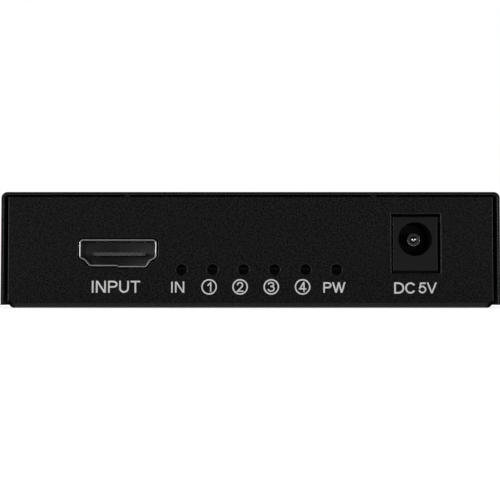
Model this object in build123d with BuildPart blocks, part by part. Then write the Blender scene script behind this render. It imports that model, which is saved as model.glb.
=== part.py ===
from build123d import *
from math import sqrt
import os

# A video splitter with one input and four outputs, in a case of folded steel sheet.
# All lengths are in millimetres. The origin is on the table, under the middle of the case.
# -Y is the panel with the input, the lamps and the power socket. +Y is the panel with the
# four outputs. +Z is up.

# Case: a tray with both panels and two side flanges, under a cover with a top and two sides
case_width = 95.6
case_depth = 68.0
case_height = 22.2
cover_sheet = 0.6
cover_bend = 0.6  # inside radius
cover_lift = 0.55  # lower edge of the cover above the table
cover_overhang = 0.3  # how far the cover reaches past each panel
tray_sheet = 0.8
tray_bend = 0.25  # inside radius
side_gap = 0.7  # between the cover's sides and the tray
top_gap = 0.35  # between the cover's top and the panels
flange_gap = 0.05  # between the cover's top and the flanges
relief_radius = 1.35  # notch at each lower corner of a panel
relief_margin = 0.3
edge_round = 0.2  # coating's round on the cut edges that show
nib_width = 1.0  # nibs on a panel's top edge, which carry the cover
nib_offset = 23.6

# Cover screws, countersunk into pressed dimples
screw_shank = 2.9  # diameter over the thread
screw_hole = 3.0
screw_length = 5.0
cover_screw_inset = 12.35  # from the ends of the tray's flanges
cover_screw_share = 0.475  # of the case's height
dimple_room = 0.05
countersink = 45.0  # degrees from the screw's axis
collar_wall = 0.9
collar_length = 0.8
cross_width = 0.6
cross_span = 2.6
cross_depth = 1.1
cross_taper = 12.0  # degrees

# Board and the four posts that carry it
board_thickness = 1.6
board_lift_share = 0.532  # of the height left over by the board and the power socket
board_gap_y = 0.9
board_gap_x = 0.5
board_corner = 1.0
post_inset_x = 2.9  # from the board's side edges
post_y_share = 0.51  # of the board's half depth
post_across = 5.4  # across the hexagon's flats
post_shank = 4.2
post_blind = 0.9  # solid metal below the threaded hole
board_hole = 3.2
pan_head = 5.6
pan_height = 1.7
pan_round = 0.7
screw_tip_room = 1.15  # below a board screw's tip, in its post

# Video socket: a folded shell round a mouth with a shouldered foot, sized on the middle
# of its sheet
ring_width = 14.5
ring_height = 5.09
shoulder_width = 12.4
shoulder_height = 1.25
shoulder_rise = 0.5  # from the shoulder's inner end to its outer end
foot_width = 10.7
ring_corner = 0.6
shell_sheet = 0.3
shell_depth = 11.0
shell_lift = 0.73  # underside of the shell above the board
shell_lip_round = 0.14
seam_width = 0.08
seam_step = 0.2  # left end of the folded sheet above its right end
leg_width = 1.2
leg_front_y = 3.6  # from the mouth
leg_rear_inset = 2.0  # from the shell's rear end
leg_reach = 0.8  # below the board
latch_width = 2.0
latch_length = 4.2
latch_slot = 0.35
latch_x = 3.4
latch_y = 4.9
tongue_recess = 2.3
tongue_width = 10.1
tongue_height = 0.55
tongue_drop = 0.11  # below the middle of the mouth
back_wall_y = 8.0
insulator_tail = 1.2  # behind the shell
insulator_play = 0.02
insulator_foot = 11.0  # width
contact_count = 19
contact_pitch = 0.5
contact_width = 0.3
contact_sheet = 0.1
contact_lip_share = 0.72  # of the tongue's height that each contact covers in front
contact_foot = 0.9
cutout_gap = 0.22  # between the shell and the panel's cutout
leg_room = 0.2

# Places of the sockets along the panels
input_inset = 21.1  # from the tray's side to the middle of the input
output_side_gap = 3.25  # from the outermost shells to the board's side edges
output_count = 4

# Power socket
jack_inset = 14.92  # from the tray's side to the middle of the socket
jack_width = 8.65
jack_height = 10.5
jack_depth = 14.0
jack_flange = 3.4
jack_recess = 0.3  # its face behind the panel's face
jack_edge_round = 0.2
jack_cutout_width = 9.4
jack_cutout_height = 11.35
jack_cutout_shift = 0.12  # along the panel, from the middle of the socket
bore_height = 6.15  # above the board
bore_diameter = 6.5
bore_depth = 9.6
barrel_wall = 0.85
pin_diameter = 2.55
pin_recess = 1.75
pin_edge_round = 0.12
pin_dome = 0.72  # radius of the rounded nose on the pin's end
pin_dome_rise = 0.45
pin_tail = 0.8
pin_eye = 4.0  # diameter of the terminal's eye round the pin's tail
blade_width = 2.0
blade_sheet = 0.4
blade_reach = 1.0  # below the board
blade_room = 0.25
spring_width = 1.8
spring_sheet = 0.3
spring_channel = 2.6
spring_pivot_y = 12.0
spring_pivot_z = 1.6
spring_root_gap = 0.1
spring_bend = 0.6
spring_crest_y = 5.0
spring_crest_rise = 0.95  # into the bore
spring_shoulder_y = 8.2
spring_shoulder_z = 2.1
spring_tip_y = 3.3
spring_tip_z = 2.5
switch_y = 10.4
switch_width = 1.2
switch_gap = 0.12  # above the spring at rest
switch_room = 0.1

# Signal lamps behind the panel
lamp_count = 6
lamp_first_gap = 4.77  # from the input's shell to the first lamp
lamp_last_gap = 10.785  # from the last lamp to the power socket
lamp_hole = 2.0
lamp_hole_rise = 0.28  # middle of the holes above the board
lamp_width = 2.2
lamp_depth = 1.0
lamp_height = 0.9
lamp_window_width = 1.5
lamp_window_height = 0.5
lamp_window_depth = 0.35
lamp_setback = 0.1

# Places on the board, as shares of its half width and half depth
chip_shares = (0.0, -0.061)
control_shares = (0.354, -0.613)
memory_shares = (-0.055, -0.613)
crystal_shares = (-0.442, 0.153)
regulator_shares = (0.701, -0.261)
coil_shares = (0.874, 0.16)
can_shares = (-0.819, -0.23)
fuse_shares = (0.538, -0.368)
diode_shares = (0.907, -0.245)

# Splitter chip with its pad and heat sink
chip_size = 14.0
chip_height = 1.4
chip_standoff = 0.1
chip_edge = 0.2
lead_count = 16  # on each side
lead_pitch = 0.65
lead_width = 0.25
lead_sheet = 0.13
lead_span = 1.0
pad_height = 0.5
sink_size = 14.0
sink_base = 1.6
sink_height = 6.5
fin_count = 6
fin_width = 1.0

# Other pieces on the board
control_size = 7.0
control_height = 1.0
control_lead_count = 8
control_lead_pitch = 0.7
memory_width = 3.9
memory_length = 4.9
memory_height = 1.45
memory_spacing = 9.0
memory_count = 2
memory_lead_width = 0.4
memory_lead_pitch = 1.27
memory_lead_count = 4  # on each long side
memory_lead_span = 1.05
memory_lead_sheet = 0.2
crystal_length = 11.0
crystal_width = 4.5
crystal_height = 3.6
crystal_rim = 0.4
regulator_width = 6.5
regulator_depth = 3.5
regulator_height = 1.7
regulator_spacing = 9.0
regulator_count = 2
tab_width = 3.0
tab_length = 1.7
tab_sheet = 0.3
coil_size = 7.0
coil_height = 3.4
coil_round = 1.2
can_diameter = 6.3
can_height = 7.5
can_base = 6.6
can_base_height = 1.2
can_round = 0.5
can_spacing = 10.0
can_count = 2
fuse_length = 4.6
fuse_width = 3.2
fuse_height = 1.2
diode_length = 4.4
diode_width = 2.7
diode_height = 2.2
guard_length = 3.0
guard_width = 3.0
guard_height = 0.9
guard_spacing = 5.5
guard_back_y = 5.0  # behind a socket's tail
small_length = 1.6
small_width = 0.8
small_height = 0.75
small_pitch = 2.6
small_columns = 4
resistor_back_y = 1.9  # behind a socket's tail
capacitor_margin = 3.2  # outside the splitter chip's leads

overrun = 1.0  # extra length of cutting tools

# Worked out from the sizes above
tray_width = case_width - 2 * (cover_sheet + side_gap)
tray_depth = case_depth - 2 * cover_overhang
panel_y = tray_depth / 2  # outer face of each panel
panel_inside_y = panel_y - tray_sheet
panel_top = case_height - cover_sheet - top_gap
flange_height = case_height - cover_sheet - flange_gap
cover_screw_z = case_height * cover_screw_share
relief_depth = tray_sheet + tray_bend + relief_margin
flange_length = tray_depth - 2 * relief_depth
cover_screw_y = flange_length / 2 - cover_screw_inset
spare_height = case_height - cover_sheet - tray_sheet - board_thickness - jack_height
board_lift = spare_height * board_lift_share
board_bottom = tray_sheet + board_lift
board_top = board_bottom + board_thickness
board_width = tray_width - 2 * (tray_sheet + board_gap_x)
board_depth = 2 * (panel_inside_y - board_gap_y)
post_x = board_width / 2 - post_inset_x
post_y = board_depth / 2 * post_y_share
mouth_y = case_depth / 2  # mouths are level with the cover's edge
ring_low = shell_lift + shell_sheet / 2  # middle of the shell's foot above the board
mouth_top = ring_low + ring_height - shell_sheet / 2
tongue_middle = ring_low + ring_height / 2 - tongue_drop
tongue_low = tongue_middle - tongue_height / 2
tongue_high = tongue_middle + tongue_height / 2
insulator_end = shell_depth + insulator_tail
contact_end = insulator_end + contact_foot
head_depth = cover_sheet + side_gap
head_radius = screw_shank / 2 + head_depth
dimple_wall = cover_sheet * sqrt(2)  # widening of the dimple's outside by the sheet
board_screw_length = board_top - post_blind - screw_tip_room
leg_rear_y = shell_depth - leg_rear_inset
shell_half = (ring_width + shell_sheet) / 2
input_x = input_inset - tray_width / 2
jack_x = tray_width / 2 - jack_inset
output_pitch = (board_width - 2 * (output_side_gap + shell_half)) / (output_count - 1)
output_places = [output_pitch * (place - (output_count - 1) / 2) for place in range(output_count)]
lamp_first_x = input_x + shell_half + lamp_first_gap
lamp_last_x = jack_x - jack_width / 2 - lamp_last_gap
lamp_pitch = (lamp_last_x - lamp_first_x) / (lamp_count - 1)
lamp_places = [lamp_first_x + lamp_pitch * place for place in range(lamp_count)]
lamp_hole_z = board_top + lamp_hole_rise
jack_face_y = -panel_y + jack_recess
bore_bottom = bore_height - bore_diameter / 2
spring_crest_z = bore_bottom + spring_crest_rise

os.makedirs("parts", exist_ok=True)


def save(piece, name):
    """Labels a finished piece and writes it as a file of its own."""
    piece.part.label = name
    export_step(piece.part, f"parts/{name}.step")


def standing_rectangle(width, height, corner):
    """A rectangle on the sketch's X axis, with its two lower corners rounded."""
    with BuildSketch() as outline:
        Rectangle(width, height, align=(Align.CENTER, Align.MIN))
        fillet(outline.vertices().group_by(Axis.Y)[0], radius=corner)
    return outline.sketch


def folded_channel(width, height, sheet, bend):
    """The section of a channel folded from sheet, open at the top."""
    with BuildSketch() as section:
        add(standing_rectangle(width, height, bend + sheet))
        with Locations((0, sheet)):
            add(standing_rectangle(width - 2 * sheet, height - sheet, bend), mode=Mode.SUBTRACT)
    return section.sketch


def ring_side(grow, side):
    """One side of the video socket's outline, on the middle of its sheet, widened by grow."""
    foot_z = seam_step if side < 0 else 0
    with BuildSketch() as outline:
        with BuildLine():
            Polyline(
                (-foot_width / 2, foot_z),
                (foot_width / 2, foot_z),
                (shoulder_width / 2, shoulder_height),
                (ring_width / 2, shoulder_height + shoulder_rise),
                (ring_width / 2, ring_height),
                (-ring_width / 2, ring_height),
                (-ring_width / 2, shoulder_height + shoulder_rise),
                (-shoulder_width / 2, shoulder_height),
                close=True,
            )
        make_face()
        fillet(outline.vertices(), radius=ring_corner)
        offset(amount=grow)
        with Locations((0, ring_height / 2)):
            Rectangle(
                ring_width,
                2 * ring_height,
                align=(Align.MAX if side < 0 else Align.MIN, Align.CENTER),
                mode=Mode.INTERSECT,
            )
    return outline.sketch


def ring_section(grow):
    """The video socket's whole outline, stepped at the seam in its foot."""
    with BuildSketch() as outline:
        add(ring_side(grow, -1))
        add(ring_side(grow, 1))
    return outline.sketch


def shell_side(side):
    """One side of the video socket's shell, with its lip rounded."""
    with BuildPart() as folded:
        with BuildSketch(Plane.XZ):
            with Locations((0, ring_low)):
                add(ring_side(shell_sheet / 2, side))
                add(ring_side(-shell_sheet / 2, side), mode=Mode.SUBTRACT)
        extrude(amount=-shell_depth)
        rim = folded.faces().sort_by(Axis.Y)[0]
        fillet(
            [edge for edge in rim.edges() if abs(edge.center().X) > seam_width],
            radius=shell_lip_round,
        )
    return folded.part


def side_plane(side, distance):
    """A plane at that distance on one side of the case, facing inwards, with its Y axis up."""
    return Plane(origin=(side * distance, 0, 0), x_dir=(0, -side, 0), z_dir=(-side, 0, 0))


def cross_sketch():
    """The cross of a screw's drive."""
    with BuildSketch() as cross:
        Rectangle(cross_span, cross_width)
        Rectangle(cross_width, cross_span)
    return cross.sketch


shell_cutout = ring_section(shell_sheet / 2 + cutout_gap)
insulator_outside = ring_section(-shell_sheet / 2 - insulator_play)
screw_cross = cross_sketch()

# Bottom tray: floor, both panels and the side flanges, folded from one sheet
with BuildPart() as bottom_tray:
    with BuildSketch(Plane.YZ):
        add(folded_channel(tray_depth, panel_top, tray_sheet, tray_bend))
    extrude(amount=tray_width / 2, both=True)
    Box(
        tray_width,
        flange_length,
        tray_sheet,
        align=(Align.CENTER, Align.CENTER, Align.MIN),
        mode=Mode.SUBTRACT,
    )
    with BuildSketch(Plane.XZ):
        add(folded_channel(tray_width, flange_height, tray_sheet, tray_bend))
    extrude(amount=flange_length / 2, both=True)
    # Relief notches at the panels' lower corners
    for outer_y in (panel_y, relief_depth - panel_y):
        with BuildSketch(Plane.XZ.offset(outer_y)):
            with Locations((-tray_width / 2, 0), (tray_width / 2, 0)):
                Circle(relief_radius)
        extrude(amount=-relief_depth, mode=Mode.SUBTRACT)
    # Input panel: one video socket, the lamps and the power socket
    with BuildSketch(Plane.XZ.offset(panel_y)):
        with Locations((input_x, board_top + ring_low)):
            add(shell_cutout)
        with Locations([(place, lamp_hole_z) for place in lamp_places]):
            Circle(lamp_hole / 2)
        with Locations((jack_x + jack_cutout_shift, board_top + jack_height / 2)):
            Rectangle(jack_cutout_width, jack_cutout_height)
    extrude(amount=-tray_sheet, mode=Mode.SUBTRACT)
    # Output panel
    with BuildSketch(Plane.XZ.offset(-panel_inside_y)):
        with Locations([(place, board_top + ring_low) for place in output_places]):
            add(shell_cutout)
    extrude(amount=-tray_sheet, mode=Mode.SUBTRACT)
    # The coating rounds the cut edges that show
    for panel in (bottom_tray.faces().sort_by(Axis.Y)[0], bottom_tray.faces().sort_by(Axis.Y)[-1]):
        shown = [edge for wire in panel.inner_wires() for edge in wire.edges()]
        shown += panel.outer_wire().edges().filter_by(Axis.Z)
        fillet(shown, radius=edge_round)
    # Holes for the board's posts
    with GridLocations(2 * post_x, 2 * post_y, 2, 2):
        Hole(radius=post_shank / 2)
    # Threaded collars for the cover's screws
    for side in (-1, 1):
        with BuildSketch(side_plane(side, tray_width / 2 - tray_sheet)):
            with Locations((-cover_screw_y, cover_screw_z), (cover_screw_y, cover_screw_z)):
                Circle(screw_hole / 2 + collar_wall)
        extrude(amount=collar_length)
        with BuildSketch(side_plane(side, tray_width / 2)):
            with Locations((-cover_screw_y, cover_screw_z), (cover_screw_y, cover_screw_z)):
                Circle(screw_hole / 2)
        extrude(amount=tray_sheet + collar_length, mode=Mode.SUBTRACT)
    # Nibs on the top edges, which the cover lies on
    nib_middle = panel_y - tray_sheet / 2
    with BuildSketch(Plane.XY.offset(panel_top)):
        with GridLocations(2 * nib_offset, 2 * nib_middle, 2, 2):
            Rectangle(nib_width, tray_sheet)
    extrude(amount=top_gap)
save(bottom_tray, "bottom_tray")

# Top cover: the top and both sides, with a dimple for each screw
with BuildPart() as top_cover:
    with BuildSketch(Plane.XZ):
        with Locations((0, case_height)):
            add(
                folded_channel(case_width, case_height - cover_lift, cover_sheet, cover_bend),
                rotation=180,
            )
    extrude(amount=case_depth / 2, both=True)
    for end in (top_cover.faces().sort_by(Axis.Y)[0], top_cover.faces().sort_by(Axis.Y)[-1]):
        fillet(end.edges(), radius=edge_round)
    for side in (-1, 1):
        for edge_radius, mode in (
            (head_radius + dimple_room + dimple_wall, Mode.ADD),
            (head_radius + dimple_room, Mode.SUBTRACT),
        ):
            with BuildSketch(side_plane(side, case_width / 2)):
                with Locations((-cover_screw_y, cover_screw_z), (cover_screw_y, cover_screw_z)):
                    Circle(edge_radius)
            extrude(amount=head_depth, taper=countersink, mode=mode)
save(top_cover, "top_cover")

# Cover screws, two in each side
with BuildPart() as cover_screws:
    for side in (-1, 1):
        outside = side_plane(side, case_width / 2)
        with BuildSketch(outside):
            with Locations((-cover_screw_y, cover_screw_z), (cover_screw_y, cover_screw_z)):
                Circle(head_radius)
        extrude(amount=head_depth, taper=countersink)
        with BuildSketch(outside):
            with Locations((-cover_screw_y, cover_screw_z), (cover_screw_y, cover_screw_z)):
                Circle(screw_shank / 2)
        extrude(amount=screw_length)
        with BuildSketch(outside):
            with Locations((-cover_screw_y, cover_screw_z), (cover_screw_y, cover_screw_z)):
                add(screw_cross)
        extrude(amount=cross_depth, taper=cross_taper, mode=Mode.SUBTRACT)
save(cover_screws, "cover_screws")

# Posts pressed into the floor, flush with its underside
with BuildPart() as board_posts:
    with BuildSketch():
        with GridLocations(2 * post_x, 2 * post_y, 2, 2):
            Circle(post_shank / 2)
    extrude(amount=tray_sheet)
    with BuildSketch(Plane.XY.offset(tray_sheet)):
        with GridLocations(2 * post_x, 2 * post_y, 2, 2):
            RegularPolygon(post_across / 2, 6, major_radius=False)
    extrude(amount=board_lift)
    with BuildSketch(Plane.XY.offset(board_bottom)):
        with GridLocations(2 * post_x, 2 * post_y, 2, 2):
            Circle(screw_hole / 2)
    extrude(amount=post_blind - board_bottom, mode=Mode.SUBTRACT)
save(board_posts, "board_posts")

# Screws that hold the board on its posts
with BuildPart() as board_screws:
    with BuildSketch(Plane.XY.offset(board_top)):
        with GridLocations(2 * post_x, 2 * post_y, 2, 2):
            Circle(pan_head / 2)
    extrude(amount=pan_height)
    fillet(board_screws.edges().group_by(Axis.Z)[-1], radius=pan_round)
    with BuildSketch(Plane.XY.offset(board_top)):
        with GridLocations(2 * post_x, 2 * post_y, 2, 2):
            Circle(screw_shank / 2)
    extrude(amount=-board_screw_length)
    with BuildSketch(Plane.XY.offset(board_top + pan_height)):
        with GridLocations(2 * post_x, 2 * post_y, 2, 2):
            add(screw_cross)
    extrude(amount=-cross_depth, taper=cross_taper, mode=Mode.SUBTRACT)
save(board_screws, "board_screws")

# Video socket, with its mouth at y = 0 facing -Y and the board's top at z = 0
leg_places = [(side * ring_width / 2, y) for side in (-1, 1) for y in (leg_front_y, leg_rear_y)]
leg_top = ring_low + shoulder_height + shoulder_rise + ring_corner
with BuildPart() as socket_shell:
    add(shell_side(-1))
    add(shell_side(1))
    # Two spring latches, freed by a slot on three sides, in the top and in the foot
    for latch_low in (shell_lift, mouth_top):
        with BuildSketch(Plane.XY.offset(latch_low)):
            with Locations((-latch_x, latch_y), (latch_x, latch_y)):
                Rectangle(latch_width + 2 * latch_slot, latch_length)
            with Locations((-latch_x, latch_y + latch_slot), (latch_x, latch_y + latch_slot)):
                Rectangle(latch_width, latch_length, mode=Mode.SUBTRACT)
        extrude(amount=shell_sheet + seam_step, mode=Mode.SUBTRACT)
    # Seam where the folded sheet meets itself
    with BuildSketch(Plane.XY.offset(shell_lift)):
        Rectangle(seam_width, shell_depth, align=(Align.CENTER, Align.MIN))
    extrude(amount=shell_sheet + seam_step, mode=Mode.SUBTRACT)
    # Legs through the board
    with BuildSketch(Plane.XY.offset(leg_top)):
        with Locations(leg_places):
            Rectangle(shell_sheet, leg_width)
    extrude(amount=-(leg_top + board_thickness + leg_reach))

with BuildPart() as socket_insulator:
    with BuildSketch(Plane.XZ.offset(-back_wall_y)):
        with Locations((0, ring_low)):
            add(insulator_outside)
    extrude(amount=back_wall_y - insulator_end)
    with BuildSketch(Plane.XZ.offset(-tongue_recess)):
        with Locations((0, tongue_middle)):
            Rectangle(tongue_width, tongue_height)
    extrude(amount=tongue_recess - back_wall_y)
    # Foot on the board, behind the shell
    with BuildSketch(Plane.XZ.offset(-shell_depth)):
        Rectangle(insulator_foot, mouth_top, align=(Align.CENTER, Align.MIN))
    extrude(amount=-insulator_tail)
    # Slots that hold the two rows of contacts
    row_width = contact_pitch * (contact_count - 1) + contact_width
    with BuildSketch(Plane.XZ.offset(-back_wall_y)):
        with Locations((0, tongue_high)):
            Rectangle(row_width, contact_sheet, align=(Align.CENTER, Align.MIN))
        with Locations((0, tongue_low)):
            Rectangle(row_width, contact_sheet, align=(Align.CENTER, Align.MAX))
    extrude(amount=back_wall_y - insulator_end, mode=Mode.SUBTRACT)


def contact_section(strip_z, lip_z):
    """One contact seen from the side: lip in front of the tongue, strip, tail and foot."""
    lip_y = tongue_recess - contact_sheet / 2
    tail_y = insulator_end + contact_sheet / 2
    with BuildSketch() as section:
        with BuildLine():
            Polyline(
                (lip_y, lip_z),
                (lip_y, strip_z),
                (tail_y, strip_z),
                (tail_y, contact_sheet / 2),
                (contact_end, contact_sheet / 2),
            )
        trace(line_width=contact_sheet)
    return section.sketch


lip_reach = tongue_height * contact_lip_share
upper_contact = contact_section(tongue_high + contact_sheet / 2, tongue_high - lip_reach)
lower_contact = contact_section(tongue_low - contact_sheet / 2, tongue_low + lip_reach)
with BuildPart() as socket_contacts:
    for place in range(contact_count):
        contact_x = contact_pitch * (place - (contact_count - 1) / 2)
        with BuildSketch(Plane.YZ.offset(contact_x)):
            add(lower_contact if place % 2 else upper_contact)
        extrude(amount=contact_width / 2, both=True)


def place_socket(name, x, facing):
    """Writes a socket's three pieces, at x on the input panel (0) or output panel (180)."""
    y = mouth_y if facing else -mouth_y
    for piece_name, piece in (
        ("shell", socket_shell),
        ("insulator", socket_insulator),
        ("contacts", socket_contacts),
    ):
        with BuildPart() as placed:
            with Locations(Location((x, y, board_top), (0, 0, facing))):
                add(piece.part)
        save(placed, f"{name}_{piece_name}")


place_socket("input", input_x, 0)
for number, output_x in enumerate(reversed(output_places), start=1):
    place_socket(f"output_{number}", output_x, 180)

# Power socket: a block with a barrel behind it, bored for the plug
jack_end_y = jack_face_y + jack_depth
barrel_radius = bore_diameter / 2 + barrel_wall
bore_z = board_top + bore_height
pin_shoulder_y = jack_face_y + pin_recess + pin_dome_rise
pin_end_y = jack_end_y + pin_tail
switch_y_place = jack_face_y + switch_y
# The spring's top below the switch contact's front edge, where it comes nearest
slope_share = (spring_pivot_y - switch_y + switch_width / 2) / (spring_pivot_y - spring_shoulder_y)
spring_top_there = spring_pivot_z + (spring_shoulder_z - spring_pivot_z) * slope_share
switch_low = board_top + spring_top_there + spring_sheet / 2 + switch_gap
with BuildPart() as power_jack_body:
    with BuildSketch(Plane.XZ.offset(-jack_face_y)):
        with Locations((jack_x, board_top)):
            Rectangle(jack_width, jack_height, align=(Align.CENTER, Align.MIN))
    extrude(amount=-jack_flange)
    fillet(power_jack_body.faces().sort_by(Axis.Y)[0].edges(), radius=jack_edge_round)
    with BuildSketch(Plane.XZ.offset(-jack_face_y - jack_flange)):
        with Locations((jack_x, bore_z)):
            Circle(barrel_radius)
        with Locations((jack_x, board_top)):
            Rectangle(2 * barrel_radius, bore_height, align=(Align.CENTER, Align.MIN))
    extrude(amount=jack_flange - jack_depth)
    with BuildSketch(Plane.XZ.offset(-jack_face_y)):
        with Locations((jack_x, bore_z)):
            Circle(bore_diameter / 2)
    extrude(amount=-bore_depth, mode=Mode.SUBTRACT)
    # Seat of the centre pin in the back wall
    with BuildSketch(Plane.XZ.offset(-jack_face_y)):
        with Locations((jack_x, bore_z)):
            Circle(pin_diameter / 2)
    extrude(amount=-jack_depth, mode=Mode.SUBTRACT)
    # Channel below the bore for the sleeve spring
    channel_start = spring_tip_y - spring_sheet
    with BuildSketch(Plane.XY.offset(board_top)):
        with Locations((jack_x, jack_face_y + channel_start)):
            Rectangle(
                spring_channel, jack_depth - channel_start, align=(Align.CENTER, Align.MIN)
            )
    extrude(amount=spring_crest_z, mode=Mode.SUBTRACT)
    # Side slot that the switch contact is pushed into
    with BuildSketch(Plane.YZ.offset(jack_x)):
        with Locations((switch_y_place, switch_low - switch_room)):
            Rectangle(
                switch_width + 2 * switch_room,
                blade_sheet + 2 * switch_room,
                align=(Align.CENTER, Align.MIN),
            )
    extrude(amount=barrel_radius + overrun, mode=Mode.SUBTRACT)
save(power_jack_body, "power_jack_body")

# Centre pin, with a rounded shoulder and a domed nose
with BuildPart() as power_pin:
    with BuildSketch(Plane.XZ.offset(-pin_shoulder_y)):
        with Locations((jack_x, bore_z)):
            Circle(pin_diameter / 2)
    extrude(amount=pin_shoulder_y - pin_end_y)
    fillet(power_pin.edges().group_by(Axis.Y)[0], radius=pin_edge_round)
    with Locations((jack_x, pin_shoulder_y + pin_dome - pin_dome_rise, bore_z)):
        Sphere(pin_dome)
save(power_pin, "power_pin")

# Blade riveted on the pin's tail, behind the block, down through the board
blade_bottom = board_bottom - blade_reach
with BuildPart() as pin_terminal:
    with BuildSketch(Plane.XZ.offset(-jack_end_y)):
        with Locations((jack_x, bore_z)):
            Circle(pin_eye / 2)
        with Locations((jack_x, blade_bottom)):
            Rectangle(blade_width, bore_z - blade_bottom, align=(Align.CENTER, Align.MIN))
        with Locations((jack_x, bore_z)):
            Circle(pin_diameter / 2, mode=Mode.SUBTRACT)
    extrude(amount=-blade_sheet)
save(pin_terminal, "pin_terminal")

# Sleeve spring: bowed up into the bore, pushed down by the plug
jack_side = Plane(
    origin=(jack_x, jack_face_y, board_top), x_dir=(0, 1, 0), z_dir=(1, 0, 0)
)
with BuildPart() as power_spring:
    with BuildSketch(jack_side):
        with BuildLine():
            FilletPolyline(
                (spring_pivot_y, spring_pivot_z),
                (spring_shoulder_y, spring_shoulder_z),
                (spring_crest_y, spring_crest_z - spring_sheet / 2),
                (spring_tip_y, spring_tip_z),
                radius=spring_bend,
            )
        trace(line_width=spring_sheet)
    extrude(amount=spring_width / 2, both=True)
save(power_spring, "power_spring")

# Blade that the spring grows out of, down through the board
root_y = jack_face_y + spring_pivot_y + spring_root_gap
with BuildPart() as spring_terminal:
    with BuildSketch(Plane.XZ.offset(-root_y)):
        with Locations((jack_x, blade_bottom)):
            Rectangle(
                spring_width,
                board_top + spring_pivot_z + spring_sheet / 2 - blade_bottom,
                align=(Align.CENTER, Align.MIN),
            )
    extrude(amount=-blade_sheet)
save(spring_terminal, "spring_terminal")

# Switch contact: a finger over the spring and a blade beside the block
switch_outside = jack_x + barrel_radius
with BuildPart() as switch_contact:
    with BuildSketch(Plane.XZ.offset(-switch_y_place + switch_width / 2)):
        with Locations((jack_x, switch_low)):
            Rectangle(barrel_radius + blade_sheet, blade_sheet, align=(Align.MIN, Align.MIN))
        with Locations((switch_outside, blade_bottom)):
            Rectangle(
                blade_sheet, switch_low + blade_sheet - blade_bottom, align=(Align.MIN, Align.MIN)
            )
    extrude(amount=-switch_width)
save(switch_contact, "switch_contact")

# Board, with the holes for posts, legs and blades
with BuildPart() as main_board:
    with BuildSketch(Plane.XY.offset(board_bottom)) as board_outline:
        Rectangle(board_width, board_depth)
        fillet(board_outline.vertices(), radius=board_corner)
        with GridLocations(2 * post_x, 2 * post_y, 2, 2):
            Circle(board_hole / 2, mode=Mode.SUBTRACT)
        for socket_x, facing in [(input_x, 0)] + [(place, 180) for place in output_places]:
            toward_middle = -1 if facing else 1
            front = mouth_y if facing else -mouth_y
            with Locations([(socket_x + x, front + toward_middle * y) for x, y in leg_places]):
                Rectangle(
                    shell_sheet + 2 * leg_room, leg_width + 2 * leg_room, mode=Mode.SUBTRACT
                )
        with Locations((jack_x, jack_end_y + blade_sheet / 2), (jack_x, root_y + blade_sheet / 2)):
            Rectangle(
                blade_width + 2 * blade_room, blade_sheet + 2 * blade_room, mode=Mode.SUBTRACT
            )
        with Locations((switch_outside + blade_sheet / 2, switch_y_place)):
            Rectangle(
                blade_sheet + 2 * blade_room, switch_width + 2 * blade_room, mode=Mode.SUBTRACT
            )
    extrude(amount=board_thickness)
save(main_board, "main_board")

# Lamps: side-facing packages on the board's front edge, each behind its hole
lamp_face_y = -board_depth / 2 + lamp_setback
lamp_names = ["lamp_input"] + [f"lamp_output_{n}" for n in range(1, 5)] + ["lamp_power"]
for lamp_name, lamp_x in zip(lamp_names, lamp_places):
    with BuildPart() as lamp:
        with BuildSketch(Plane.XZ.offset(-lamp_face_y)):
            with Locations((lamp_x, board_top)):
                Rectangle(lamp_width, lamp_height, align=(Align.CENTER, Align.MIN))
        extrude(amount=-lamp_depth)
        with BuildSketch(Plane.XZ.offset(-lamp_face_y)):
            with Locations((lamp_x, board_top + lamp_height / 2)):
                Rectangle(lamp_window_width, lamp_window_height)
        extrude(amount=-lamp_window_depth, mode=Mode.SUBTRACT)
    save(lamp, lamp_name)
with BuildPart() as lamp_windows:
    with BuildSketch(Plane.XZ.offset(-lamp_face_y)):
        with Locations([(place, board_top + lamp_height / 2) for place in lamp_places]):
            Rectangle(lamp_window_width, lamp_window_height)
    extrude(amount=-lamp_window_depth)
save(lamp_windows, "lamp_windows")


def on_board(shares):
    """The place on the board at those shares of its half width and half depth."""
    return board_width / 2 * shares[0], board_depth / 2 * shares[1]


def chip_body(x, y, width, depth, height, corner):
    """A moulded chip package, a little above the board."""
    with BuildPart() as chip:
        with BuildSketch(Plane.XY.offset(board_top + chip_standoff)):
            with Locations((x, y)):
                Rectangle(width, depth)
        extrude(amount=height)
        chamfer(chip.edges().filter_by(Axis.Z), length=corner)
    return chip


def bent_lead(body_half, body_height, span, sheet, width):
    """One gull-wing lead, from a chip's wall out to its pad, along +X of the chip."""
    exit_z = chip_standoff + body_height / 2
    with BuildPart() as lead:
        with BuildSketch(Plane.XZ):
            with BuildLine():
                Polyline(
                    (body_half, exit_z),
                    (body_half + span / 3, exit_z),
                    (body_half + span / 2, sheet / 2),
                    (body_half + span, sheet / 2),
                )
            trace(line_width=sheet)
        extrude(amount=width / 2, both=True)
    return lead.part


def lead_places(x, y, angles, count, pitch):
    """Where a chip's leads stand: one row on each side that faces one of the angles."""
    sides = [Location((x, y, board_top), (0, 0, angle)) for angle in angles]
    steps = [Location((0, pitch * (place - (count - 1) / 2), 0)) for place in range(count)]
    return [side * step for side in sides for step in steps]


all_round = (0, 90, 180, 270)
left_and_right = (0, 180)

# Splitter chip and its leads
chip_x, chip_y = on_board(chip_shares)
splitter_chip = chip_body(chip_x, chip_y, chip_size, chip_size, chip_height, chip_edge)
save(splitter_chip, "splitter_chip")
chip_lead = bent_lead(chip_size / 2, chip_height, lead_span, lead_sheet, lead_width)
with BuildPart() as splitter_chip_leads:
    with Locations(lead_places(chip_x, chip_y, all_round, lead_count, lead_pitch)):
        add(chip_lead)
save(splitter_chip_leads, "splitter_chip_leads")

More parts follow.
